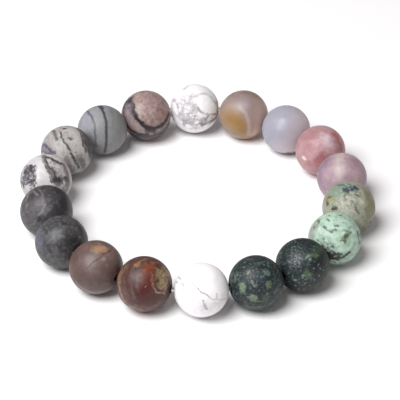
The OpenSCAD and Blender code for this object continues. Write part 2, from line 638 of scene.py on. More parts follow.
def make_skin_group():
    """The fine grain of a matt stone, for its bump and its gloss, by place in metres."""
    group, given, result = new_group(
        "matt stone skin",
        {"Place": "place", "Gloss": "number", "Spread": "number"},
        {"Height": "number", "Roughness": "number"},
    )
    fine = noise(group, given["Place"], FINE_GRAIN, detail=3.0).outputs["Fac"]
    coarse = noise(group, given["Place"], COARSE_GRAIN).outputs["Fac"]
    group.links.new(calculate(group, "MULTIPLY_ADD", coarse, COARSE_DEPTH, fine), result["Height"])
    uneven = calculate(group, "SUBTRACT", coarse, NOISE_MIDDLE)
    roughness = calculate(group, "MULTIPLY_ADD", uneven, given["Spread"], given["Gloss"])
    group.links.new(roughness, result["Roughness"])
    return group


def linear(colour):
    """A paint's colour as light, from the 0 to 255 of a paint chart. Paints are mixed a little deeper
    than they look, because the sheen of the matt skin lightens them."""
    shares = [part / 255 for part in colour]
    # The curve of the standard screen colours
    light = [share / 12.92 if share < 0.0405 else ((share + 0.055) / 1.055) ** 2.4 for share in shares]
    return [part**PAINT_DEPTH for part in light]


def on_ball(right, up):
    """The point of the ball that shows there in the photograph, in the bead's radii."""
    towards = math.sqrt(max(0.0, 1 - right**2 - up**2))
    return Vector((right, up, towards)).normalized()


class Stone:
    """The material of one bead, painted in layers. Places are in the bead's radii, as right and up from
    its middle in the photograph's view, and stay with the stone."""

    def __init__(self, bead, colour, bend, bend_size=0.35, rough=0.55):
        self.material = bpy.data.materials.new(bead.name)
        self.material.use_nodes = True
        self.tree = self.material.node_tree
        self.surface = self.tree.nodes["Principled BSDF"]
        self.seed = Vector((bead.middle.x, bead.middle.y, 0)) * MM_IN_METRE
        coordinates = self.tree.nodes.new("ShaderNodeTexCoord").outputs["Object"]
        self.flat = self.facing_place(bead, coordinates)
        self.place = self.group("bent place", Place=self.flat, Size=bend_size, Bend=bend)["Place"]
        self.place = self.group(
            "bent place", Place=self.place, Size=bend_size / FINER_BEND, Bend=bend / SMALLER_BEND
        )["Place"]
        notches = noise(self.tree, self.flat, NOTCH_SIZE, detail=3.0).outputs["Fac"]
        self.grain = calculate(self.tree, "SUBTRACT", notches, NOISE_MIDDLE)
        moved = vector_math(self.tree, "ADD", self.flat, self.own_seed(1))
        waves = noise(self.tree, moved, WAVE_SIZE).outputs["Fac"]
        self.swell = ramp(self.tree, waves, NOISE_LOW, NOISE_HIGH, THINNEST, WIDEST)
        self.fade = ramp(self.tree, waves, FAINT_WAVE, FULL_WAVE, FAINTEST)
        self.colour = self.constant_colour(colour)
        skin = self.group("matt stone skin", Place=coordinates, Gloss=rough, Spread=GLOSS_SPREAD)
        self.height = skin["Height"]
        self.tree.links.new(skin["Roughness"], self.surface.inputs["Roughness"])

    def facing_place(self, bead, coordinates):
        """Turns places in metres to radii from the bead's middle, with Z towards the camera."""
        towards = (camera_place() - bead.middle).normalized()
        right = (Vector((1, 0, 0)) - towards * towards.x).normalized()
        turn = Matrix((right, towards.cross(right), towards))
        mapping = self.tree.nodes.new("ShaderNodeMapping")
        mapping.inputs["Scale"].default_value = (1 / bead.r,) * 3
        mapping.inputs["Rotation"].default_value = turn.to_euler()
        mapping.inputs["Location"].default_value = -(turn @ bead.middle) / bead.r
        self.tree.links.new(coordinates, mapping.inputs["Vector"])
        return mapping.outputs["Vector"]

    def group(self, name, **values):
        """Puts in a node group, with its inputs by name."""
        node = self.tree.nodes.new("ShaderNodeGroup")
        node.node_tree = bpy.data.node_groups[name]
        for title, value in values.items():
            feed(self.tree, node.inputs[title], value)
        return node.outputs

    def constant_colour(self, colour):
        node = self.tree.nodes.new("ShaderNodeRGB")
        node.outputs[0].default_value = (*linear(colour), 1)
        return node.outputs[0]

    # Masks

    def patch(self, at, size, turn=0, soft=0.3, ragged=0.12, even=False):
        """An oval round a place. Size is half its length and half its width, which varies unless it is
        even. Soft is a share of the half width, ragged is in radii, and turn is in degrees."""
        half_length, half_width = size
        reach = max(0.0, half_length - half_width)
        side = Vector((math.cos(math.radians(turn)), math.sin(math.radians(turn)))) * reach
        ends = [Vector(at) - side, Vector(at) + side]
        return self.line(ends, half_width, soft * half_width, ragged, even)

    def line(self, points, width, soft, ragged, even=False):
        """A line through places, with its half width, which varies unless it is even."""
        ends = [on_ball(*point) for point in points]
        distance = None
        for start, end in zip(ends, ends[1:]):
            step = self.group("stroke distance", Place=self.place, Start=start, End=end)["Distance"]
            distance = step if distance is None else calculate(self.tree, "MINIMUM", distance, step)
        return self.group(
            "brush mark",
            Distance=distance,
            Width=width,
            Softness=soft,
            Grain=self.grain,
            Ragged=ragged,
            Swell=1.0 if even else self.swell,
        )["Mask"]

    def lumps(self, size, cover=0.5, soft=0.08, seed=0, squeeze=(1, 1, 1)):
        """Cloudy patches over a share of the stone, narrower by their squeeze along each axis."""
        place = vector_math(self.tree, "MULTIPLY", self.place, squeeze)
        start = self.own_seed(seed)
        return self.group(
            "cloudy patches", Place=place, Size=size, Cover=cover, Softness=soft, Seed=start
        )["Mask"]

    def web(self, size, width, seed=0):
        start = self.own_seed(seed)
        return self.group("vein web", Place=self.place, Size=size, Width=width, Seed=start)["Mask"]

    def specks(self, size, share, seed=0):
        start = self.own_seed(seed)
        return self.group("specks", Place=self.place, Size=size, Share=share, Seed=start)["Mask"]

    def own_seed(self, seed):
        """Where a pattern starts in its noise, so that no two beads are alike."""
        return self.seed + Vector((seed, 0, seed))

    def far(self):
        """The side that the photograph doesn't show."""
        parts = self.tree.nodes.new("ShaderNodeSeparateXYZ")
        self.tree.links.new(self.flat, parts.inputs[0])
        return ramp(self.tree, parts.outputs["Z"], UNSEEN_START, UNSEEN_FULL)

    # Paint

    def paint(self, colour, *masks, strength=1.0):
        """Lays a colour over the stone where all the masks are."""
        share = strength
        for mask in masks:
            share = calculate(self.tree, "MULTIPLY", share, mask)
        mix = self.tree.nodes.new("ShaderNodeMix")
        mix.data_type = "RGBA"
        feed(self.tree, mix.inputs["Factor"], share)
        self.tree.links.new(self.colour, mix.inputs["A"])
        mix.inputs["B"].default_value = (*linear(colour), 1)
        self.colour = mix.outputs["Result"]

    def draw(self, colour, *points, width=0.04, soft=0.8, ragged=2.0, strength=0.9, even=False):
        """Draws a vein through places. Soft and ragged are shares of its half width. It swells and fades
        along its way unless it is even."""
        mask = self.line(points, width, soft * width, ragged * width, even)
        fade = 1.0 if even else self.fade
        self.paint(colour, mask, fade, strength=strength)

    def dab(self, colour, at, size, turn=0, soft=0.7, ragged=1.6, strength=0.9, even=False):
        """Dabs an oval on. Size is half its length and half its width, which varies unless it is even.
        Soft and ragged are shares of the half width, and turn is in degrees."""
        self.paint(colour, self.patch(at, size, turn, soft, ragged * size[1], even), strength=strength)

    def finish(self, mottle=0.12, size=0.22):
        """Mottles the stone a little all over and gives it its skin."""
        tone = noise(self.tree, self.flat, size, detail=5.0).outputs["Fac"]
        brightness = ramp(self.tree, tone, NOISE_LOW, NOISE_HIGH, 1 - mottle, 1 + mottle)
        toned = vector_math(self.tree, "MULTIPLY", self.colour, brightness)
        self.tree.links.new(toned, self.surface.inputs["Base Color"])
        relief = self.tree.nodes.new("ShaderNodeBump")
        relief.inputs["Strength"].default_value = RELIEF_STRENGTH
        relief.inputs["Distance"].default_value = RELIEF
        self.tree.links.new(self.height, relief.inputs["Height"])
        self.tree.links.new(relief.outputs["Normal"], self.surface.inputs["Normal"])
        return self.material


def add_glow(stone, share, colour):
    """Lets some light run through a stone under its surface."""
    surface = stone.surface
    surface.inputs["Subsurface Weight"].default_value = share
    surface.inputs["Subsurface Radius"].default_value = linear(colour)
    surface.inputs["Subsurface Scale"].default_value = GLOW_DEPTH


# The stones, one function each


def paint_howlite_back(bead):
    """White, with clouds of fine grey veins and larger ones to the right."""
    stone = Stone(bead, (241, 238, 241), bend=0.16, bend_size=0.3, rough=0.5)
    stone.paint((150, 147, 153), stone.web(0.4, 0.07), stone.far(), strength=0.8)
    for area in (
        stone.patch((-0.36, -0.08), (0.66, 0.5), turn=-60, soft=0.5, ragged=0.4),
        stone.patch((0.15, -0.52), (0.66, 0.26), turn=3, soft=0.5, ragged=0.4),
    ):
        stone.paint((218, 215, 217), stone.lumps(0.16, 0.42, soft=0.1), area, strength=0.8)
        stone.paint((180, 177, 180), stone.web(0.26, 0.075, seed=3), area, strength=0.7)
        stone.paint((150, 147, 150), stone.web(0.45, 0.065, seed=6), area, strength=0.6)
    stone.dab((238, 236, 239), (-0.6, 0.54), (0.28, 0.12), turn=35)
    # Painted light: a near-white dab that lightens the shade on the lower left rim
    stone.dab((248, 246, 248), (-0.84, -0.36), (0.5, 0.12), turn=-68, soft=0.8)
    stone.dab((243, 242, 243), (0.48, 0.17), (0.36, 0.29), turn=15, soft=0.3, ragged=0.2, strength=1.0)
    stone.draw(
        (186, 183, 186), (0.02, 0.46), (0.2, 0.58), (0.42, 0.62), (0.66, 0.48), (0.84, 0.2),
        width=0.045, soft=1.4,
    )
    stone.draw((196, 193, 196), (0.1, 0.5), (0.04, 0.25), (0.1, 0.0), width=0.05, soft=1.2, strength=0.7)
    stone.draw((156, 150, 144), (0.9, 0.22), (0.93, -0.05), (0.88, -0.35), width=0.08, strength=0.8)
    stone.draw((158, 155, 156), (0.14, 0.0), (0.27, -0.17), (0.55, -0.23), (0.84, -0.22), width=0.045)
    stone.draw((134, 128, 127), (0.9, -0.36), (0.62, -0.54), (0.3, -0.66), width=0.075, soft=1.1)
    stone.draw((152, 148, 148), (0.56, -0.26), (0.46, -0.46), width=0.055)
    stone.draw((190, 187, 192), (-0.42, 0.78), (-0.28, 0.9), width=0.05, soft=1.3, strength=0.8)
    stone.draw((176, 174, 182), (-0.92, 0.4), (-0.8, 0.3), width=0.06, strength=0.8)
    return stone.finish(mottle=0.05)


def paint_amber_agate(bead):
    """Brown grey, with amber low on the left, painted light on the right where light comes through, and a
    painted highlight.
    """
    stone = Stone(bead, (156, 139, 136), bend=0.07, rough=0.5)
    stone.paint((162, 145, 142), stone.lumps(0.6, soft=0.3), strength=0.5)
    stone.paint((172, 134, 84), stone.lumps(0.8, 0.4, seed=5), stone.far(), strength=0.8)
    # Painted light: the right side is made pale where light comes through the stone
    stone.dab(
        (222, 192, 176), (0.84, -0.45), (0.9, 0.62),
        turn=65, soft=1.0, ragged=0, strength=0.95, even=True,
    )
    # Painted highlight: a soft pale patch at the upper left
    stone.dab(
        (172, 162, 164), (-0.28, 0.34), (0.5, 0.2),
        turn=15, soft=1.0, ragged=0.2, strength=0.8, even=True,
    )
    stone.dab((166, 144, 120), (-0.48, -0.34), (0.72, 0.46), turn=-42, soft=1.0, ragged=0.3, even=True)
    stone.dab((162, 134, 90), (-0.34, -0.38), (0.62, 0.35), turn=-46, soft=1.0, ragged=0.3, even=True)
    stone.dab(
        (162, 124, 70), (-0.16, -0.44), (0.44, 0.22),
        turn=-52, soft=1.0, ragged=0.4, strength=0.7, even=True,
    )
    stone.draw(
        (186, 170, 166), (-0.16, 0.28), (0.1, 0.04), (0.22, -0.36), (0.22, -0.8),
        width=0.075, soft=1.0, ragged=1.0, strength=0.8, even=True,
    )
    stone.draw((172, 124, 74), (0.0, -0.95), (0.4, -0.88), (0.75, -0.65), width=0.12, soft=0.9, even=True)
    stone.draw((176, 150, 118), (-0.94, 0.35), (-0.92, -0.1), width=0.1)
    stone.draw((124, 107, 104), (-0.5, 0.84), (0.1, 0.93), (0.7, 0.66), width=0.2, soft=1.0, strength=0.6)
    # More painted light on the right side
    stone.dab((192, 170, 164), (0.9, -0.1), (0.7, 0.44), turn=85, soft=1.0, ragged=0, even=True)
    add_glow(stone, 0.8, (200, 165, 140))
    return stone.finish(mottle=0.04)


def paint_grey_agate(bead):
    """Lavender grey and almost plain, with painted light on the right and at the bottom where light comes
    through, and a painted highlight.
    """
    stone = Stone(bead, (170, 169, 180), bend=0.05, rough=0.5)
    stone.paint((166, 165, 177), stone.lumps(0.5, soft=0.3), strength=0.5)
    # Painted light: paler on the right and at the bottom, where light comes through the stone
    stone.dab((210, 196, 200), (0.8, -0.2), (1.0, 0.66), turn=75, soft=1.0, ragged=0, even=True)
    stone.dab((204, 194, 198), (0.25, -0.85), (0.8, 0.36), soft=1.0, ragged=0, strength=0.8, even=True)
    # Painted highlight: a small pale patch at the upper left
    stone.dab(
        (190, 187, 197), (-0.22, 0.2), (0.24, 0.14),
        turn=60, soft=1.0, ragged=0.3, strength=0.5, even=True,
    )
    stone.draw((164, 146, 146), (0.35, 0.92), (0.7, 0.7), (0.92, 0.35), width=0.1, soft=1.0, strength=0.6)
    stone.draw((150, 124, 106), (0.02, -0.97), (0.4, -0.9), width=0.09, soft=0.9)
    add_glow(stone, 0.8, (190, 182, 192))
    return stone.finish(mottle=0.03)


def paint_rose_agate(bead):
    """Rose, with paler and darker clouds."""
    stone = Stone(bead, (180, 142, 147), bend=0.2, rough=0.5)
    stone.paint((194, 160, 163), stone.lumps(0.3), strength=0.7)
    stone.paint((166, 118, 124), stone.lumps(0.35, 0.4, seed=4), strength=0.5)
    stone.dab((170, 134, 136), (-0.6, 0.45), (0.6, 0.3), turn=50, soft=0.9, ragged=0.8, strength=0.7)
    stone.dab((184, 156, 156), (-0.8, 0.0), (0.4, 0.14), turn=80, soft=0.9, strength=0.7)
    stone.dab((206, 192, 198), (0.26, 0.36), (0.34, 0.2), turn=110, soft=0.9)
    stone.dab((168, 106, 108), (0.72, 0.34), (0.48, 0.17), turn=118, soft=0.8)
    stone.dab((194, 148, 150), (0.88, 0.05), (0.5, 0.14), turn=95, soft=0.9, strength=0.8)
    stone.dab((186, 148, 152), (0.2, 0.0), (0.3, 0.1), turn=15, soft=0.9, strength=0.6)
    stone.dab((156, 98, 104), (-0.02, -0.3), (0.3, 0.12), turn=60, soft=0.9, strength=0.8)
    stone.dab((178, 130, 130), (-0.1, -0.62), (0.3, 0.14), turn=70, soft=0.9, strength=0.6)
    # Painted glint: a small bright pink spot of light low on the left
    stone.dab((236, 216, 214), (-0.65, -0.31), (0.07, 0.045), soft=0.8)
    stone.dab((184, 150, 148), (-0.5, -0.7), (0.4, 0.14), turn=-35, soft=0.9, strength=0.7)
    add_glow(stone, 0.4, (210, 150, 150))
    return stone.finish(mottle=0.08)


def paint_lilac_agate(bead):
    """Lilac, with a pale streak from the top to the middle."""
    stone = Stone(bead, (174, 151, 161), bend=0.2, rough=0.5)
    stone.paint((166, 142, 154), stone.lumps(0.35), strength=0.6)
    stone.paint((188, 170, 176), stone.lumps(0.3, 0.4, seed=4), strength=0.5)
    stone.dab((146, 124, 142), (-0.78, 0.2), (0.7, 0.22), turn=75, soft=0.9)
    stone.draw(
        (194, 184, 178), (-0.08, 0.92), (-0.14, 0.6), (-0.1, 0.3),
        width=0.2, soft=1.0, strength=0.7, even=True,
    )
    stone.dab((192, 180, 184), (-0.08, 0.26), (0.4, 0.18), turn=85, soft=1.0, strength=0.5)
    stone.dab((162, 134, 144), (0.55, 0.5), (0.4, 0.2), turn=-50, soft=0.9, strength=0.6)
    # Painted light: paler on the right, where light comes through the stone
    stone.dab((186, 162, 166), (0.6, -0.05), (0.5, 0.26), turn=80, soft=1.0, strength=0.8)
    add_glow(stone, 0.5, (190, 150, 170))
    return stone.finish(mottle=0.08)


def paint_olive_turquoise(bead):
    """Olive and beige, with a dark web at the top and small dark marks."""
    stone = Stone(bead, (158, 160, 144), bend=0.22, rough=0.58)
    stone.paint((140, 160, 140), stone.lumps(0.6), stone.far(), strength=0.8)
    stone.paint((60, 62, 58), stone.web(0.5, 0.07), stone.lumps(0.5, seed=7), stone.far(), strength=0.9)
    stone.dab((134, 153, 137), (-0.48, 0.62), (0.55, 0.34), turn=35, soft=0.6)
    stone.dab((178, 178, 164), (-0.1, 0.0), (0.44, 0.3), turn=60, soft=0.8)
    stone.dab((140, 138, 112), (0.74, 0.15), (0.7, 0.3), turn=98, soft=0.5, ragged=0.4)
    stone.dab((112, 112, 100), (0.6, -0.7), (0.4, 0.16), turn=30, soft=0.9, strength=0.8)
    stone.dab((180, 178, 160), (0.42, 0.4), (0.34, 0.14), turn=110, soft=0.9, strength=0.8)
    flecked = stone.patch((-0.05, 0.25), (0.7, 0.55), soft=0.5)
    stone.paint((108, 120, 110), stone.lumps(0.1, 0.4, soft=0.06, seed=9), flecked, strength=0.55)
    stone.paint((198, 200, 186), stone.lumps(0.12, 0.3, soft=0.05, seed=5), flecked, strength=0.4)
    web = stone.patch((0.08, 0.72), (0.26, 0.16), turn=5, soft=0.7, ragged=0.5)
    stone.paint((104, 118, 126), web, strength=0.9)
    stone.paint((50, 62, 72), web, stone.web(0.2, 0.11, seed=2))
    stone.paint((56, 68, 76), web, stone.lumps(0.08, 0.3, soft=0.05, seed=2), strength=0.7)
    stone.draw((54, 72, 64), (-0.5, 0.8), (-0.3, 0.84), (-0.08, 0.8), width=0.045, strength=0.8)
    stone.draw((56, 64, 66), (-0.06, 0.62), (-0.15, 0.53), (-0.16, 0.44), ragged=3.0, strength=0.8)
    stone.draw((76, 88, 84), (0.2, 0.5), (0.36, 0.42), ragged=4.0, strength=0.7)
    stone.dab((96, 70, 34), (-0.79, 0.24), (0.17, 0.08), turn=65)
    stone.dab((178, 152, 92), (-0.7, 0.3), (0.13, 0.05), turn=15, soft=0.8, strength=0.7)
    stone.dab((50, 50, 42), (-0.55, -0.07), (0.12, 0.05), turn=8, ragged=3.0)
    stone.dab((110, 80, 46), (-0.55, 0.03), (0.07, 0.03), soft=0.8, strength=0.8)
    stone.draw(
        (72, 80, 76), (0.08, 0.24), (0.22, 0.14), (0.3, -0.02), (0.34, -0.2),
        width=0.045, ragged=3.0,
    )
    stone.dab((70, 72, 66), (0.2, -0.3), (0.06, 0.03), turn=30, ragged=3.0)
    stone.dab((176, 178, 168), (0.0, -0.3), (0.3, 0.16), soft=0.9, strength=0.7)
    stone.dab((90, 94, 84), (-0.15, 0.28), (0.1, 0.05), turn=40, ragged=3.0, strength=0.6)
    return stone.finish(size=0.16)


def paint_mint_turquoise(bead):
    """Mint, with dark spots, green flecks and a dark crust along the bottom."""
    stone = Stone(bead, (174, 198, 182), bend=0.24, rough=0.58)
    stone.paint((150, 175, 159), stone.lumps(0.25), strength=0.6)
    stone.paint((194, 215, 203), stone.lumps(0.2, 0.45, seed=6), strength=0.6)
    stone.paint((40, 42, 36), stone.web(0.6, 0.08), stone.lumps(0.4, seed=7), stone.far(), strength=0.9)
    stone.dab((160, 162, 154), (-0.84, 0.2), (0.42, 0.2), turn=78, soft=0.8)
    stone.paint(
        (120, 122, 110), stone.lumps(0.1, 0.35, soft=0.05, seed=3),
        stone.patch((-0.8, 0.3), (0.4, 0.2), turn=75),
        strength=0.5,
    )
    stone.dab((112, 132, 120), (0.86, 0.05), (0.8, 0.2), turn=92, soft=0.9, strength=0.8)
    stone.dab((120, 130, 119), (0.2, -0.84), (0.7, 0.16), turn=5, soft=0.9, strength=0.8)
    spots = (
        (-0.59, 0.64, 0.065), (-0.27, 0.7, 0.055), (-0.2, 0.84, 0.035), (0.22, 0.87, 0.06),
        (0.06, 0.5, 0.06), (-0.42, -0.04, 0.05), (0.66, 0.8, 0.06), (0.6, 0.22, 0.05),
        (-0.36, 0.42, 0.06), (-0.13, 0.24, 0.05), (-0.02, 0.34, 0.06), (0.55, 0.46, 0.05),
        (-0.62, -0.07, 0.06), (-0.78, 0.4, 0.04), (0.3, 0.6, 0.035), (0.5, 0.68, 0.035),
        (-0.05, 0.7, 0.03),
    )
    for right, up, size in spots:
        stone.dab(
            (78, 88, 68), (right, up), (1.3 * size, 0.7 * size),
            turn=90 * right, ragged=3.0, strength=0.75,
        )
    stone.draw(
        (104, 108, 86), (-0.4, 0.44), (-0.3, 0.32), (-0.14, 0.24),
        width=0.035, ragged=4.0, strength=0.7,
    )
    stone.dab((104, 118, 84), (0.42, 0.08), (0.2, 0.1), turn=60, soft=0.8, ragged=3.5, strength=0.8)
    stone.dab((84, 96, 62), (0.44, 0.12), (0.08, 0.05), turn=20, soft=0.6, ragged=3.5)
    stone.dab((96, 108, 72), (0.37, -0.12), (0.1, 0.05), turn=80, soft=0.6, ragged=3.5)
    stone.dab((110, 132, 122), (0.36, 0.3), (0.12, 0.04), turn=10, ragged=3.0, strength=0.7)
    edge = stone.patch((0.8, 0.25), (0.6, 0.13), turn=102, soft=0.5)
    stone.paint((66, 80, 72), edge, stone.lumps(0.13, 0.45, soft=0.05, seed=12), strength=0.8)
    stone.draw((52, 66, 58), (0.84, 0.25), (0.88, 0.0), (0.92, -0.15), width=0.05, ragged=4.0)
    stone.dab((116, 122, 112), (-0.26, -0.54), (0.44, 0.26), turn=-35, soft=0.8, ragged=0.7)
    crust = stone.patch((-0.2, -0.56), (0.42, 0.22), turn=-38, soft=0.5, ragged=0.8)
    stone.paint((38, 35, 34), crust, stone.lumps(0.14, 0.6, soft=0.06, seed=13), strength=0.95)
    stone.paint((52, 46, 40), crust, stone.web(0.2, 0.1, seed=6), strength=0.8)
    stone.dab((30, 32, 30), (0.48, -0.56), (0.17, 0.05), turn=35, soft=0.6, ragged=3.0)
    stone.dab((60, 66, 60), (0.42, -0.72), (0.1, 0.03), turn=20, ragged=4.0, strength=0.7)
    stone.dab((50, 47, 46), (0.04, -0.74), (0.16, 0.05), turn=-12, ragged=3.0)
    stone.dab((70, 68, 66), (0.16, -0.6), (0.08, 0.03), turn=40, ragged=4.0, strength=0.8)
    stone.dab((160, 148, 146), (0.0, -0.64), (0.05, 0.025), turn=10, ragged=3.0, strength=0.8)
    stone.dab((126, 104, 68), (-0.05, -0.84), (0.16, 0.05), turn=-10, ragged=3.0)
    return stone.finish(mottle=0.08, size=0.14)


def paint_speckled_jasper(bead):
    """Green black, full of fine pale specks."""
    stone = Stone(bead, (25, 37, 39), bend=0.16)
    stone.paint((26, 34, 36), stone.lumps(0.3), strength=0.8)
    stone.dab((62, 78, 54), (0.46, 0.46), (0.38, 0.16), turn=40, soft=0.8, ragged=1.5, strength=0.7)
    stone.dab((100, 118, 92), (0.4, 0.34), (0.2, 0.04), turn=8, soft=0.8, ragged=3.0, strength=0.7)
    stone.dab((80, 100, 68), (0.17, -0.3), (0.18, 0.12), turn=-50, soft=0.6, ragged=1.5, strength=0.85)
    pale = stone.patch((-0.2, 0.25), (0.85, 0.7), turn=60, soft=0.5, ragged=0.3)
    stone.paint((80, 98, 96), stone.lumps(0.08, 0.4, soft=0.05, seed=2), pale, strength=0.7)
    stone.paint((70, 87, 86), stone.lumps(0.08, 0.38, soft=0.05, seed=2), stone.far(), strength=0.7)
    stone.paint((104, 122, 122), stone.specks(0.13, 0.45, seed=3), stone.far(), strength=0.7)
    stone.paint((76, 96, 66), stone.lumps(0.4, 0.25, soft=0.05, seed=7), stone.far(), strength=0.7)
    stone.paint((108, 126, 128), stone.specks(0.12, 0.5), pale, strength=0.8)
    stone.paint((120, 136, 134), stone.specks(0.18, 0.33, seed=5), strength=0.8)
    stone.paint((80, 94, 92), stone.specks(0.09, 0.4, seed=8), strength=0.6)
    # Paler specks where the highlight falls: partly the stone's specks and partly a painted highlight
    specks_and_highlight = stone.patch((-0.24, 0.2), (0.2, 0.12), turn=40, soft=0.8, ragged=0.3)
    stone.paint((126, 136, 137), stone.lumps(0.09, 0.45, soft=0.06, seed=4), specks_and_highlight, strength=0.7)
    for at in (
        (0.3, 0.2), (0.42, -0.13), (0.0, -0.38), (-0.27, -0.55), (0.58, 0.02), (0.16, 0.3), (0.1, -0.66),
    ):
        stone.dab((122, 136, 130), at, (0.05, 0.03), turn=30)
    # Painted light from the white floor: a paler band along the lower right rim
    stone.draw((96, 93, 91), (0.5, -0.82), (0.85, -0.45), width=0.12, soft=1.2, strength=0.6)
    return stone.finish(mottle=0.2, size=0.14)


def paint_mottled_jasper(bead):
    """Green black, with sage blotches larger than its specks."""
    stone = Stone(bead, (34, 45, 48), bend=0.24)
    stone.paint((26, 35, 38), stone.lumps(0.25), strength=0.8)
    stone.paint((88, 106, 104), stone.lumps(0.07, 0.33, soft=0.05, seed=2), strength=0.65)
    stone.paint((112, 128, 122), stone.specks(0.12, 0.45), stone.lumps(0.35, 0.6, seed=2), strength=0.8)
    stone.paint((100, 116, 112), stone.specks(0.1, 0.35, seed=7), strength=0.6)
    stone.paint((112, 132, 98), stone.lumps(0.3, 0.3, soft=0.04, seed=4), stone.far(), strength=0.8)
    stone.dab((56, 70, 84), (0.12, 0.22), (0.22, 0.14), turn=-60, soft=1.0, strength=0.4)
    sage = (
        (-0.5, -0.18, 0.17, 0.12, -60, (118, 136, 112)), (-0.28, 0.36, 0.1, 0.06, 30, (120, 132, 126)),
        (-0.14, -0.54, 0.16, 0.12, -15, (116, 130, 112)), (0.04, -0.66, 0.1, 0.04, 0, (92, 106, 92)),
        (0.44, -0.08, 0.16, 0.08, 70, (106, 118, 92)), (0.36, -0.56, 0.2, 0.1, 75, (74, 86, 70)),
        (0.34, 0.36, 0.14, 0.08, -20, (100, 114, 106)), (-0.2, 0.22, 0.09, 0.035, 70, (100, 114, 108)),
        (-0.12, -0.02, 0.12, 0.04, -50, (112, 124, 118)), (-0.74, 0.2, 0.18, 0.07, 70, (88, 104, 94)),
        (-0.2, 0.82, 0.14, 0.05, 0, (88, 100, 92)), (0.12, 0.7, 0.1, 0.04, 20, (78, 94, 88)),
        (0.7, -0.3, 0.1, 0.06, 60, (84, 92, 88)),
    )
    for right, up, length, width, turn, colour in sage:
        stone.dab(
            colour, (right, up), (length, width), turn,
            soft=0.5, ragged=3.0, strength=0.85, even=True,
        )
    stone.draw((124, 114, 92), (0.56, 0.74), (0.78, 0.46), width=0.045, strength=0.8)
    stone.draw(
        (104, 118, 114), (-0.86, 0.3), (-0.9, -0.1), (-0.78, -0.5),
        width=0.07, soft=0.9, strength=0.7,
    )
    # Painted light from the white floor: a paler band along the bottom rim
    stone.draw((92, 104, 98), (-0.4, -0.84), (0.1, -0.88), (0.5, -0.78), width=0.06, strength=0.7)
    stone.draw((26, 32, 32), (-0.35, -0.68), (0.0, -0.74), (0.3, -0.7), width=0.03, strength=0.7)
    return stone.finish(mottle=0.2, size=0.14)


def paint_howlite_front(bead):
    """White and almost plain, with thin grey veins."""
    stone = Stone(bead, (243, 241, 243), bend=0.12, rough=0.5)
    stone.paint((235, 233, 236), stone.lumps(0.6, 0.45), strength=0.6)
    # Painted light: the right side is made whiter against its shade
    stone.dab((252, 251, 253), (0.7, 0.1), (0.9, 0.34), turn=80, soft=1.0)
    stone.dab((222, 220, 226), (-0.9, -0.55), (0.5, 0.2), turn=-50, soft=1.0, strength=0.8)
    stone.paint(
        (150, 148, 152), stone.web(0.8, 0.05), stone.lumps(0.6, 0.55, seed=3), stone.far(),
        strength=0.8,
    )
    stone.draw(
        (182, 179, 181), (-0.44, 0.27), (-0.28, 0.18), (-0.12, 0.04),
        width=0.023, strength=0.85, even=True,
    )
    stone.draw((190, 187, 189), (-0.34, 0.3), (-0.26, 0.1), width=0.02, strength=0.8)
    stone.draw((178, 175, 176), (-0.14, 0.06), (0.0, -0.08), (0.21, -0.2), width=0.025, even=True)
    stone.draw((176, 173, 174), (0.21, -0.2), (0.36, -0.33), (0.6, -0.36), (0.9, -0.3), width=0.025)
    stone.draw((184, 181, 182), (0.56, -0.35), (0.55, -0.16), width=0.03, strength=0.8)
    stone.draw((190, 187, 186), (0.46, -0.5), (0.74, -0.42), width=0.03, strength=0.8)
    low = stone.patch((0.34, -0.56), (0.62, 0.28), turn=10, soft=1.0, ragged=0.3)
    stone.paint((228, 226, 228), low, strength=0.8)
    stone.paint((208, 205, 205), stone.web(0.24, 0.05, seed=5), low, strength=0.35)
    stone.draw(
        (180, 177, 180), (0.05, -0.38), (0.11, -0.56), (0.2, -0.7),
        width=0.035, ragged=3.0, even=True,
    )
    stone.draw((188, 185, 187), (0.11, -0.58), (0.02, -0.74), width=0.03, strength=0.8)
    for at in ((-0.95, 0.35), (-0.79, 0.42), (-0.67, 0.19), (-0.9, 0.28)):
        stone.dab((182, 180, 184), at, (0.09, 0.035), turn=-55, ragged=3.0, strength=0.8)
    stone.draw((214, 212, 218), (-0.6, -0.8), (0.0, -0.97), (0.7, -0.7), width=0.06, soft=1.0, strength=0.6)
    add_glow(stone, 0.7, (240, 235, 235))
    return stone.finish(mottle=0.02)


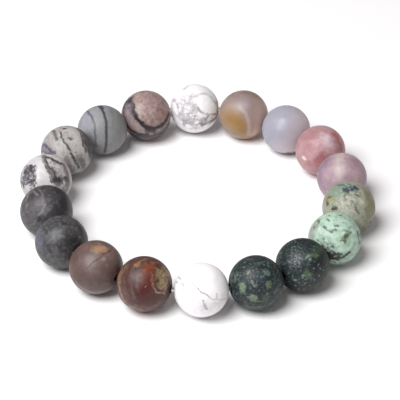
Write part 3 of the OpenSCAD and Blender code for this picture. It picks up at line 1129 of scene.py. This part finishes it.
def paint_red_jasper(bead):
    """Deep red inside arcs of brown, with an olive patch on the right."""
    stone = Stone(bead, (98, 66, 59), bend=0.26, rough=0.48)
    stone.paint((78, 50, 45), stone.lumps(0.3), strength=0.7)
    stone.paint((116, 96, 76), stone.lumps(0.5, 0.35, seed=4), stone.far(), strength=0.8)
    stone.paint((130, 66, 48), stone.lumps(0.45, 0.35, seed=6), stone.far(), strength=0.8)
    arcs = (
        (0.26, 0.5, 0.06, (108, 86, 86)), (0.38, 0.55, 0.045, (68, 42, 40)),
        (0.48, 0.6, 0.045, (106, 84, 82)), (0.6, 0.62, 0.045, (74, 46, 40)),
        (0.7, 0.6, 0.05, (96, 66, 58)), (0.8, 0.5, 0.035, (88, 60, 52)),
        (0.9, 0.46, 0.07, (138, 122, 98)),
    )
    for left, top, width, colour in arcs:
        points = ((-left + 0.08, top), (-left, 0.5 * top), (-left, 0.0), (-left + 0.12, -0.35 - 0.2 * top))
        stone.draw(colour, *points, width=width, soft=1.0, ragged=3.0, strength=0.85, even=True)
    for low, colour in ((0.58, (112, 78, 68)), (0.7, (66, 38, 34)), (0.84, (124, 100, 90))):
        points = ((-0.5, 0.1 - low), (-0.15, -low), (0.25, -low), (0.6, 0.18 - low))
        stone.draw(colour, *points, width=0.05, soft=1.0, ragged=3.0, strength=0.65)
    # Painted light from the white floor: pale bands along the lower rim
    stone.draw(
        (138, 116, 106), (-0.1, -0.94), (0.2, -0.93), (0.42, -0.84),
        width=0.06, soft=1.0, strength=0.7,
    )
    stone.draw(
        (146, 126, 108), (-0.8, -0.5), (-0.5, -0.8), (-0.1, -0.94),
        width=0.08, soft=0.9, strength=0.8,
    )
    stone.dab((95, 24, 12), (0.03, -0.04), (0.5, 0.25), turn=85, soft=0.8, ragged=1.0, strength=1.0)
    stone.dab((80, 18, 8), (-0.04, -0.3), (0.3, 0.2), turn=40, soft=0.9, ragged=1.5)
    stone.dab((76, 24, 16), (0.15, -0.5), (0.48, 0.22), turn=-5, soft=0.9, ragged=1.5)
    stone.dab((96, 56, 48), (0.3, -0.8), (0.5, 0.16), turn=12, soft=1.0, strength=0.8)
    stone.dab((70, 42, 38), (0.82, -0.4), (0.36, 0.16), turn=60, soft=1.0, strength=0.8)
    stone.dab((80, 50, 45), (-0.34, 0.18), (0.42, 0.2), turn=75, soft=1.0, strength=0.75)
    stone.dab((126, 84, 68), (0.32, 0.72), (0.14, 0.07), turn=20, soft=0.9, ragged=2.0, strength=0.8)
    stone.dab((128, 106, 84), (-0.78, 0.42), (0.34, 0.12), turn=60, soft=1.0, strength=0.7)
    stone.dab((136, 72, 38), (0.16, 0.56), (0.24, 0.16), turn=50, soft=0.9, ragged=2.0)
    stone.dab((108, 40, 24), (0.12, 0.42), (0.14, 0.07), turn=60, soft=0.8, ragged=2.0, strength=0.8)
    stone.draw((146, 114, 78), (-0.28, 0.66), (-0.12, 0.8), (0.08, 0.87), width=0.07, soft=1.0, ragged=3.0)
    stone.draw((126, 96, 72), (-0.14, 0.66), (0.1, 0.78), (0.44, 0.74), ragged=3.0, strength=0.7)
    olive = stone.patch((0.66, 0.24), (0.44, 0.27), turn=80, soft=0.5, ragged=0.3)
    stone.paint((144, 126, 97), olive, strength=0.9)
    stone.paint((72, 52, 38), stone.lumps(0.12, 0.38, soft=0.06, seed=9), olive, strength=0.7)
    stone.paint((164, 154, 120), stone.lumps(0.11, 0.35, soft=0.05, seed=11), olive, strength=0.7)
    stone.dab((72, 44, 36), (0.41, -0.04), (0.22, 0.06), turn=78, soft=1.0, ragged=2.0, strength=0.8)
    stone.draw(
        (136, 96, 82), (0.2, 0.42), (0.28, 0.26), (0.3, 0.06), (0.34, -0.16),
        width=0.024, soft=1.2, ragged=3.0, strength=0.8,
    )
    stone.draw(
        (160, 132, 124), (0.34, -0.14), (0.4, -0.29), (0.56, -0.34), (0.72, -0.32),
        width=0.022, soft=1.0, even=True,
    )
    stone.dab((150, 108, 98), (0.05, -0.08), (0.04, 0.025), soft=0.8)
    # Painted shade: a dark patch at the mouth of the hole on the right, between this bead and the next
    stone.dab((26, 18, 16), (0.95, -0.12), (0.24, 0.08), turn=80, soft=1.0, strength=0.85)
    return stone.finish(mottle=0.2, size=0.14)


def paint_brown_jasper(bead):
    """Mauve brown, with a tan patch at the top and two thin dark lines."""
    stone = Stone(bead, (110, 91, 88), bend=0.16, rough=0.5)
    stone.paint((96, 78, 74), stone.lumps(0.4), strength=0.6)
    stone.paint((136, 112, 84), stone.lumps(0.6, 0.3, seed=4), stone.far(), strength=0.8)
    # Painted highlight at the upper left, and painted light that makes the upper right paler
    stone.dab((126, 112, 111), (-0.12, 0.28), (0.4, 0.2), turn=60, soft=1.0, strength=0.5)
    stone.dab((134, 110, 104), (0.42, 0.6), (0.5, 0.3), turn=-20, soft=1.0, ragged=0.3, strength=0.8)
    stone.dab((168, 136, 106), (0.14, 0.71), (0.27, 0.14), turn=5, soft=0.9)
    stone.dab((120, 94, 88), (-0.3, 0.75), (0.3, 0.14), turn=20, soft=1.0, strength=0.7)
    stone.draw((74, 59, 56), (0.52, 0.63), (0.18, 0.42), (-0.1, 0.18), width=0.02, ragged=1.0, even=True)
    stone.draw((84, 68, 65), (-0.08, 0.22), (-0.36, -0.08), width=0.02, strength=0.7)
    stone.draw((82, 70, 52), (0.7, 0.62), (0.84, 0.3), (0.82, -0.05), width=0.1, soft=0.9, strength=0.6)
    stone.dab((92, 64, 57), (-0.78, -0.05), (0.6, 0.26), turn=-80, soft=1.0, strength=0.85)
    stone.dab((150, 134, 130), (0.27, 0.29), (0.05, 0.04), strength=0.8)
    stone.dab((140, 122, 118), (0.42, 0.1), (0.05, 0.03), strength=0.6)
    stone.dab((84, 68, 60), (-0.1, -0.42), (0.6, 0.16), turn=-8, soft=0.9, strength=0.7)
    stone.dab((62, 47, 42), (0.78, -0.3), (0.36, 0.1), turn=72, soft=1.3, strength=0.6)
    # Painted light from the white floor: a paler band along the lower rim
    stone.draw(
        (142, 127, 124), (-0.7, -0.62), (-0.4, -0.84), (0.0, -0.95), (0.45, -0.82),
        width=0.1, soft=0.9, strength=0.8,
    )
    return stone.finish(mottle=0.09, size=0.14)


def paint_charcoal_marble_front(bead):
    """Charcoal, with darker blotches and a few pale threads."""
    stone = Stone(bead, (82, 81, 84), bend=0.2, rough=0.5)
    stone.paint((60, 59, 61), stone.lumps(0.2), strength=0.7)
    stone.paint((104, 102, 104), stone.lumps(0.14, 0.4, soft=0.06, seed=3), strength=0.55)
    stone.paint((46, 45, 46), stone.lumps(0.1, 0.3, soft=0.05, seed=7), strength=0.6)
    # A pale diagonal streak, partly the stone's own and partly a painted highlight
    stone.dab((92, 91, 93), (-0.2, 0.3), (0.6, 0.1), turn=50, soft=1.0, strength=0.4)
    stone.dab((94, 98, 110), (-0.78, 0.1), (0.4, 0.16), turn=80, soft=0.9, strength=0.75)
    stone.dab((46, 45, 46), (0.48, -0.1), (0.5, 0.24), turn=-50, soft=0.9, ragged=1.0, strength=0.8)
    stone.dab((46, 45, 44), (0.74, 0.4), (0.3, 0.16), turn=-60, soft=0.9, strength=0.8)
    stone.dab((84, 80, 58), (0.8, 0.2), (0.2, 0.08), turn=80, soft=0.9, strength=0.8)
    stone.dab((64, 62, 56), (0.0, -0.86), (0.5, 0.12), soft=0.9, strength=0.5)
    stone.paint(
        (34, 34, 34), stone.web(0.22, 0.08, seed=4), stone.patch((0.3, -0.1), (0.5, 0.3), turn=-40),
        strength=0.6,
    )
    for at in (
        (-0.58, -0.12), (-0.15, -0.1), (-0.35, -0.35), (0.05, -0.3), (0.2, 0.05), (-0.65, 0.45), (0.1, 0.7),
    ):
        stone.dab((46, 44, 46), at, (0.12, 0.06), turn=60 * at[0], ragged=3.0, strength=0.75)
    stone.dab((124, 118, 108), (0.68, 0.18), (0.05, 0.03), ragged=3.0)
    stone.draw((104, 102, 100), (0.44, -0.08), (0.58, -0.02), width=0.02, ragged=3.0, strength=0.8)
    stone.draw((56, 54, 56), (-0.6, 0.5), (-0.3, 0.74), (0.1, 0.76), width=0.035, ragged=3.0, strength=0.7)
    stone.draw(
        (112, 110, 112), (-0.6, -0.1), (-0.3, 0.2), (0.0, 0.5),
        width=0.03, soft=1.0, ragged=3.0, strength=0.5,
    )
    return stone.finish(mottle=0.2, size=0.12)


def paint_charcoal_marble_back(bead):
    """Charcoal, with thin pale swirls."""
    stone = Stone(bead, (79, 76, 81), bend=0.22, rough=0.5)
    stone.paint((62, 59, 63), stone.lumps(0.22), strength=0.7)
    stone.paint((108, 104, 108), stone.lumps(0.15, 0.4, soft=0.06, seed=3), strength=0.5)
    stone.dab((98, 94, 97), (-0.55, 0.05), (0.5, 0.3), turn=80, soft=0.9, strength=0.5)
    stone.dab((44, 41, 46), (0.55, 0.42), (0.6, 0.22), turn=110, soft=0.8)
    stone.dab((60, 57, 60), (0.1, 0.85), (0.5, 0.1), soft=0.9, strength=0.7)
    stone.dab((52, 49, 52), (-0.55, 0.52), (0.16, 0.09), turn=70)
    stone.draw((122, 117, 120), (-0.76, 0.4), (-0.68, 0.66), (-0.5, 0.76), (-0.38, 0.62), width=0.03)
    stone.draw(
        (56, 53, 56), (-0.84, 0.4), (-0.72, 0.74), (-0.45, 0.86), (-0.26, 0.6),
        width=0.03, strength=0.7,
    )
    stone.draw((112, 108, 112), (-0.32, 0.86), (-0.16, 0.62), (-0.14, 0.36), width=0.03, strength=0.8)
    stone.dab((112, 114, 116), (-0.74, 0.2), (0.1, 0.04), turn=40, ragged=4.0, strength=0.7)
    stone.dab((120, 114, 114), (-0.72, -0.02), (0.1, 0.05), turn=-20, ragged=3.0, strength=0.7)
    stone.draw(
        (122, 119, 122), (-0.05, 0.25), (-0.18, 0.05), (-0.3, -0.18),
        width=0.035, ragged=3.0, strength=0.8,
    )
    stone.dab((112, 110, 112), (-0.5, -0.42), (0.12, 0.05), turn=60, ragged=3.0, strength=0.7)
    stone.dab((40, 38, 41), (-0.28, -0.32), (0.11, 0.06), turn=60, ragged=3.0)
    stone.dab((42, 40, 43), (-0.08, -0.5), (0.12, 0.05), turn=10, ragged=3.0, strength=0.8)
    stone.dab((96, 92, 96), (0.45, -0.3), (0.3, 0.12), turn=-10, soft=0.9, ragged=2.0, strength=0.5)
    stone.dab((116, 115, 121), (0.0, 0.0), (0.16, 0.07), turn=40, soft=0.9, ragged=3.0, strength=0.7)
    stone.dab((50, 47, 51), (0.42, 0.02), (0.3, 0.12), turn=100, soft=1.0, ragged=2.0, strength=0.7)
    return stone.finish(mottle=0.2, size=0.13)


def paint_dendrite_marble(bead):
    """Off white, with black branching marks and a grey inset with dark edges."""
    stone = Stone(bead, (207, 204, 204), bend=0.24)
    stone.paint((194, 190, 190), stone.lumps(0.3), strength=0.6)
    stone.paint((52, 50, 54), stone.web(0.6, 0.09), stone.lumps(0.5, seed=5), stone.far(), strength=0.9)
    stone.dab((186, 182, 182), (-0.6, -0.45), (0.5, 0.25), turn=-40, soft=0.8)
    shade = stone.patch((-0.76, 0.2), (0.46, 0.32), turn=80, soft=0.5, ragged=0.4)
    stone.paint((146, 143, 151), shade, strength=0.9)
    stone.draw((112, 106, 104), (-0.9, 0.45), (-0.97, 0.1), (-0.96, -0.25), width=0.1, soft=0.9, even=True)
    fern = stone.patch((-0.66, 0.2), (0.46, 0.28), turn=80, ragged=0.6)
    stone.paint((84, 82, 90), stone.web(0.18, 0.1, seed=2), fern, strength=0.8)
    stone.paint((60, 58, 63), stone.lumps(0.08, 0.4, soft=0.04, seed=7), fern, strength=0.85)
    stone.draw((54, 52, 57), (-0.6, 0.58), (-0.6, 0.3), (-0.5, 0.1), (-0.54, -0.05), width=0.05, ragged=5.0)
    stone.draw((66, 64, 68), (-0.84, 0.3), (-0.6, 0.25), (-0.42, 0.36), width=0.045, ragged=5.0)
    stone.draw((74, 71, 74), (-0.44, 0.36), (-0.42, 0.12), (-0.46, -0.04), width=0.035, ragged=5.0)
    stone.draw((70, 67, 70), (-0.9, -0.1), (-0.86, -0.25), width=0.06, ragged=4.0, strength=0.8)
    stone.dab((208, 205, 218), (-0.32, 0.3), (0.3, 0.07), turn=88, soft=0.9, strength=0.7)
    inside = stone.patch((0.44, 0.42), (0.56, 0.34), turn=-58, ragged=0.3)
    stone.paint((174, 170, 170), inside, strength=0.95)
    stone.paint((128, 124, 124), stone.lumps(0.12, 0.4, soft=0.07, seed=4), inside, strength=0.6)
    stone.paint((206, 203, 202), stone.lumps(0.14, 0.4, soft=0.06, seed=8), inside, strength=0.7)
    stone.draw(
        (112, 108, 111), (-0.1, 0.95), (-0.02, 0.72), (0.1, 0.46), (0.19, 0.26),
        width=0.075, soft=0.6, ragged=0.8, even=True,
    )
    stone.dab(
        (116, 111, 113), (0.31, 0.14), (0.44, 0.16),
        turn=-62, soft=0.5, ragged=1.0, strength=0.95, even=True,
    )
    stone.dab((94, 89, 91), (0.46, 0.01), (0.26, 0.13), turn=-12, soft=0.6, ragged=2.0, strength=0.95)
    stone.draw(
        (62, 59, 62), (0.02, 0.88), (0.0, 0.7), (0.1, 0.5), (0.25, 0.37), (0.38, 0.14), (0.53, 0.06),
        width=0.03, ragged=3.0, even=True,
    )
    stone.draw(
        (70, 67, 70), (-0.16, 0.88), (-0.1, 0.66), (0.03, 0.4), (0.14, 0.12), (0.23, -0.08),
        width=0.025, ragged=3.0, strength=0.8,
    )
    stone.draw(
        (62, 59, 63), (0.0, 0.9), (0.16, 0.86), (0.32, 0.76), (0.48, 0.64), (0.62, 0.62),
        width=0.05, ragged=3.0, strength=1.0, even=True,
    )
    stone.draw(
        (134, 122, 120), (0.68, 0.58), (0.76, 0.4), (0.82, 0.18), (0.87, -0.08),
        width=0.12, strength=0.95, even=True,
    )
    stone.dab((60, 57, 58), (0.43, 0.03), (0.16, 0.06), turn=-30, ragged=3.0)
    stone.dab((70, 62, 63), (0.78, 0.02), (0.16, 0.08), turn=-60, soft=0.8, ragged=3.0)
    stone.dab((120, 114, 117), (0.78, -0.3), (0.3, 0.18), turn=70, soft=0.9, ragged=2.0, strength=0.8)
    return stone.finish(mottle=0.07, size=0.14)


def paint_streaked_marble(bead):
    """Warm grey, with dark streaks that run down to the right."""
    stone = Stone(bead, (170, 166, 165), bend=0.22)
    stone.paint((150, 145, 145), stone.lumps(0.2, squeeze=(1.6, 0.6, 1)), strength=0.6)
    stone.paint((190, 187, 187), stone.lumps(0.2, 0.4, seed=8, squeeze=(1.6, 0.6, 1)), strength=0.5)
    stone.paint(
        (74, 70, 72), stone.lumps(0.5, 0.35, soft=0.04, seed=4, squeeze=(2.2, 0.5, 1)), stone.far(),
        strength=0.9,
    )
    stone.dab((190, 186, 184), (0.36, 0.5), (0.6, 0.22), turn=-60, soft=1.0, strength=0.85)
    stone.dab((108, 102, 102), (0.1, -0.5), (0.4, 0.1), turn=-65, soft=0.9, strength=0.7)
    stone.draw(
        (78, 75, 75), (-0.26, 0.74), (-0.2, 0.52), (-0.08, 0.34), (0.06, 0.16), (0.14, 0.02),
        width=0.035, strength=1.0, even=True,
    )
    stone.draw((74, 70, 70), (0.18, -0.1), (0.3, -0.32), (0.47, -0.62), width=0.05, strength=1.0, even=True)
    stone.draw((92, 88, 88), (-0.54, 0.82), (-0.46, 0.66), (-0.38, 0.48), width=0.06, ragged=2.5, even=True)
    stone.dab((58, 55, 55), (-0.07, 0.87), (0.08, 0.05), ragged=3.0)
    stone.dab((94, 92, 88), (0.12, 0.53), (0.1, 0.06), turn=-50, ragged=3.5)
    stone.dab((128, 123, 121), (0.0, 0.74), (0.07, 0.04), ragged=2.5, strength=0.8)
    stone.dab((128, 122, 134), (-0.8, 0.12), (0.36, 0.15), turn=-35, soft=0.6, ragged=1.5)
    stone.draw(
        (86, 80, 90), (-0.92, 0.24), (-0.74, 0.16), (-0.56, -0.02), (-0.44, -0.1),
        width=0.045, ragged=3.0, even=True,
    )
    stone.draw(
        (104, 98, 104), (-0.95, 0.04), (-0.74, -0.06), (-0.5, -0.1),
        width=0.035, ragged=3.0, strength=0.8,
    )
    beyond = stone.line(((0.62, 0.8), (0.8, 0.4), (0.92, 0.1), (0.96, -0.1)), 0.26, 0.06, 0.15, even=True)
    stone.paint((104, 97, 99), beyond)
    stone.paint((66, 60, 63), beyond, stone.lumps(0.16, seed=6, squeeze=(1.8, 0.4, 1)), strength=0.75)
    stone.draw(
        (72, 67, 69), (0.42, 0.86), (0.54, 0.58), (0.64, 0.26), (0.74, 0.0),
        width=0.05, ragged=1.5, even=True,
    )
    stone.draw((136, 128, 132), (0.7, 0.5), (0.84, 0.12), width=0.025, ragged=4.0, strength=0.6)
    stone.dab((104, 102, 96), (0.56, -0.44), (0.3, 0.14), turn=-60, soft=0.8, ragged=2.0)
    stone.dab((92, 87, 85), (0.4, -0.8), (0.5, 0.14), turn=20, soft=0.9, strength=0.8)
    stone.dab((108, 104, 102), (0.38, 0.0), (0.05, 0.03), strength=0.7)
    return stone.finish(mottle=0.09, size=0.14)


def paint_banded_marble(bead):
    """Blue grey, with dark curved bands."""
    stone = Stone(bead, (146, 146, 148), bend=0.08, rough=0.52)
    stone.paint((134, 134, 136), stone.lumps(0.4), strength=0.5)
    stone.paint(
        (72, 74, 78), stone.lumps(0.6, 0.37, soft=0.03, seed=6, squeeze=(3, 0.15, 0.25)), stone.far(),
        strength=0.9,
    )
    stone.dab((160, 158, 170), (-0.58, 0.35), (0.6, 0.26), turn=75, soft=0.8, ragged=0.5, strength=0.8)
    stone.dab((136, 137, 135), (0.62, 0.0), (0.7, 0.36), turn=88, soft=0.8, ragged=0.5, strength=0.8)
    stone.draw(
        (96, 94, 101), (-0.62, 0.76), (-0.42, 0.52), (-0.31, 0.2), (-0.27, -0.3), (-0.28, -0.62),
        width=0.045, ragged=0.8, even=True,
    )
    stone.draw(
        (62, 60, 66), (-0.09, 0.95), (0.06, 0.64), (0.15, 0.25), (0.16, -0.2), (0.1, -0.9),
        width=0.055, ragged=0.6, strength=0.95, even=True,
    )
    stone.draw((74, 72, 76), (-0.14, 0.96), (0.0, 0.86), width=0.07, ragged=1.0, strength=0.8)
    stone.draw((118, 118, 118), (0.3, 0.85), (0.42, 0.4), (0.44, 0.0), soft=1.0, ragged=1.0, strength=0.5)
    # Painted shadow of the next bead, low on the left
    stone.dab((100, 99, 103), (-0.5, -0.45), (0.34, 0.2), turn=-60, soft=1.0, strength=0.7)
    stone.draw((96, 94, 98), (0.92, 0.3), (0.97, -0.1), width=0.08, soft=1.0, strength=0.6)
    return stone.finish(mottle=0.07, size=0.16)


def paint_mauve_marble(bead):
    """Pinkish brown, with a looped band that is nearly black."""
    stone = Stone(bead, (152, 132, 129), bend=0.18, rough=0.52)
    stone.paint((138, 114, 112), stone.lumps(0.2), strength=0.7)
    stone.paint((178, 160, 154), stone.lumps(0.14, 0.45, seed=4), strength=0.6)
    stone.dab((168, 146, 142), (-0.2, 0.78), (0.4, 0.14), turn=10, soft=0.9, strength=0.7)
    stone.dab((164, 136, 140), (0.2, 0.56), (0.4, 0.2), soft=0.9, strength=0.6)
    stone.dab((184, 168, 160), (-0.28, 0.2), (0.36, 0.12), turn=80, soft=0.9, strength=0.6)
    stone.dab((144, 114, 104), (0.6, 0.1), (0.4, 0.16), turn=95, soft=0.9, strength=0.6)
    stone.paint((52, 46, 48), stone.web(0.9, 0.12, seed=6), stone.far(), strength=0.9)
    stone.draw(
        (124, 115, 128), (-0.8, 0.44), (-0.74, 0.1),
        width=0.14, soft=0.5, ragged=0.6, strength=1.0, even=True,
    )
    stone.draw(
        (154, 141, 140), (-0.74, 0.06), (-0.58, -0.34), (-0.16, -0.62),
        width=0.14, soft=0.5, ragged=0.6, strength=1.0, even=True,
    )
    stone.draw(
        (72, 66, 72), (-0.5, -0.84), (-0.1, -0.9), (0.4, -0.84), (0.84, -0.5),
        width=0.26, soft=0.4, ragged=0.6, strength=1.0, even=True,
    )
    stone.draw((92, 83, 98), (-0.6, 0.56), (-0.54, 0.15), (-0.42, -0.06), width=0.09, ragged=1.5, even=True)
    stone.dab((44, 39, 44), (-0.64, 0.62), (0.2, 0.1), turn=50, ragged=2.5, strength=1.0)
    stone.draw(
        (48, 43, 48), (-0.7, 0.66), (-0.84, 0.44), (-0.9, 0.2),
        width=0.085, strength=0.95, even=True,
    )
    stone.draw((48, 44, 50), (-0.5, 0.44), (-0.5, 0.14), (-0.4, -0.1), width=0.045, ragged=3.0, even=True)
    stone.draw(
        (38, 34, 38), (-0.42, -0.06), (-0.24, -0.28), (-0.02, -0.45), (0.24, -0.52), (0.54, -0.46),
        (0.76, -0.26), (0.92, 0.05),
        width=0.09, soft=0.6, strength=1.0, even=True,
    )
    stone.dab((40, 36, 40), (0.22, -0.56), (0.26, 0.12), turn=5, ragged=2.0)
    stone.draw(
        (50, 45, 50), (-0.84, 0.5), (-0.92, 0.15), (-0.84, -0.25), (-0.64, -0.56), (-0.34, -0.74),
        (0.06, -0.76),
        width=0.07, ragged=1.5, strength=1.0, even=True,
    )
    stone.draw((114, 108, 114), (-0.3, -0.88), (0.06, -0.92), (0.5, -0.8), width=0.05, strength=0.7)
    stone.draw((112, 106, 108), (0.5, -0.68), (0.84, -0.4), width=0.06, strength=0.8)
    return stone.finish(mottle=0.14, size=0.14)


# Each bead's slot and the painter of its stone, in the order round the ring
STONES = (
    ("white_howlite", paint_howlite_back),
    ("amber_agate", paint_amber_agate),
    ("grey_agate", paint_grey_agate),
    ("rose_agate", paint_rose_agate),
    ("lilac_agate", paint_lilac_agate),
    ("olive_turquoise", paint_olive_turquoise),
    ("mint_turquoise", paint_mint_turquoise),
    ("green_jasper", paint_speckled_jasper),
    ("green_jasper", paint_mottled_jasper),
    ("white_howlite", paint_howlite_front),
    ("red_jasper", paint_red_jasper),
    ("brown_jasper", paint_brown_jasper),
    ("charcoal_marble", paint_charcoal_marble_front),
    ("charcoal_marble", paint_charcoal_marble_back),
    ("dendrite_marble", paint_dendrite_marble),
    ("streaked_marble", paint_streaked_marble),
    ("banded_marble", paint_banded_marble),
    ("mauve_marble", paint_mauve_marble),
)


def build():
    for make_group in (
        make_bend_group,
        make_stroke_group,
        make_brush_group,
        make_lumps_group,
        make_web_group,
        make_specks_group,
        make_skin_group,
    ):
        make_group()
    beads = [Bead(name) for name in sorted(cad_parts) if name != "elastic_cord"]
    points = [point.co.copy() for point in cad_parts["elastic_cord"].data.vertices]
    corners = []
    for i, bead in enumerate(beads):
        corners.append(elastic_corner(points, bead, beads[(i + 1) % len(beads)]))
    for i, bead in enumerate(beads):
        bead.thread(corners[i - 1], corners[i])

    ball = drilled_ball("drilled_ball", HOLE_R)
    knot_ball = drilled_ball("knot_ball", KNOT_HOLE_R)
    for bead, (slot, paint) in zip(beads, STONES):
        if bead.has_knot():
            piece = make_bead(bead, knot_ball, KNOT_HOLE_R)
        else:
            piece = make_bead(bead, ball, HOLE_R)
        piece.data.materials.append(paint(bead))
        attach(piece, "root")
        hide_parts(bead.name)
    bpy.data.objects.remove(ball)
    bpy.data.objects.remove(knot_ball)

    elastic = make_elastic(beads, corners)
    elastic.data.materials.append(clear_elastic_material())
    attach(elastic, "root")
    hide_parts("elastic_cord")


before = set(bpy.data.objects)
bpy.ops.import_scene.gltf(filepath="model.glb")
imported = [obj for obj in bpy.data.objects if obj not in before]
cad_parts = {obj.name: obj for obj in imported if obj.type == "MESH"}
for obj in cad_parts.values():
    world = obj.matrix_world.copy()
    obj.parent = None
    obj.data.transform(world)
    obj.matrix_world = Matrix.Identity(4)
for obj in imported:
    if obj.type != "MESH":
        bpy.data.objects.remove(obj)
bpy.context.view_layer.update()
add_camera()
add_key_light()
add_room()
add_floor()
bpy.context.scene.view_settings.view_transform = "Standard"
build()
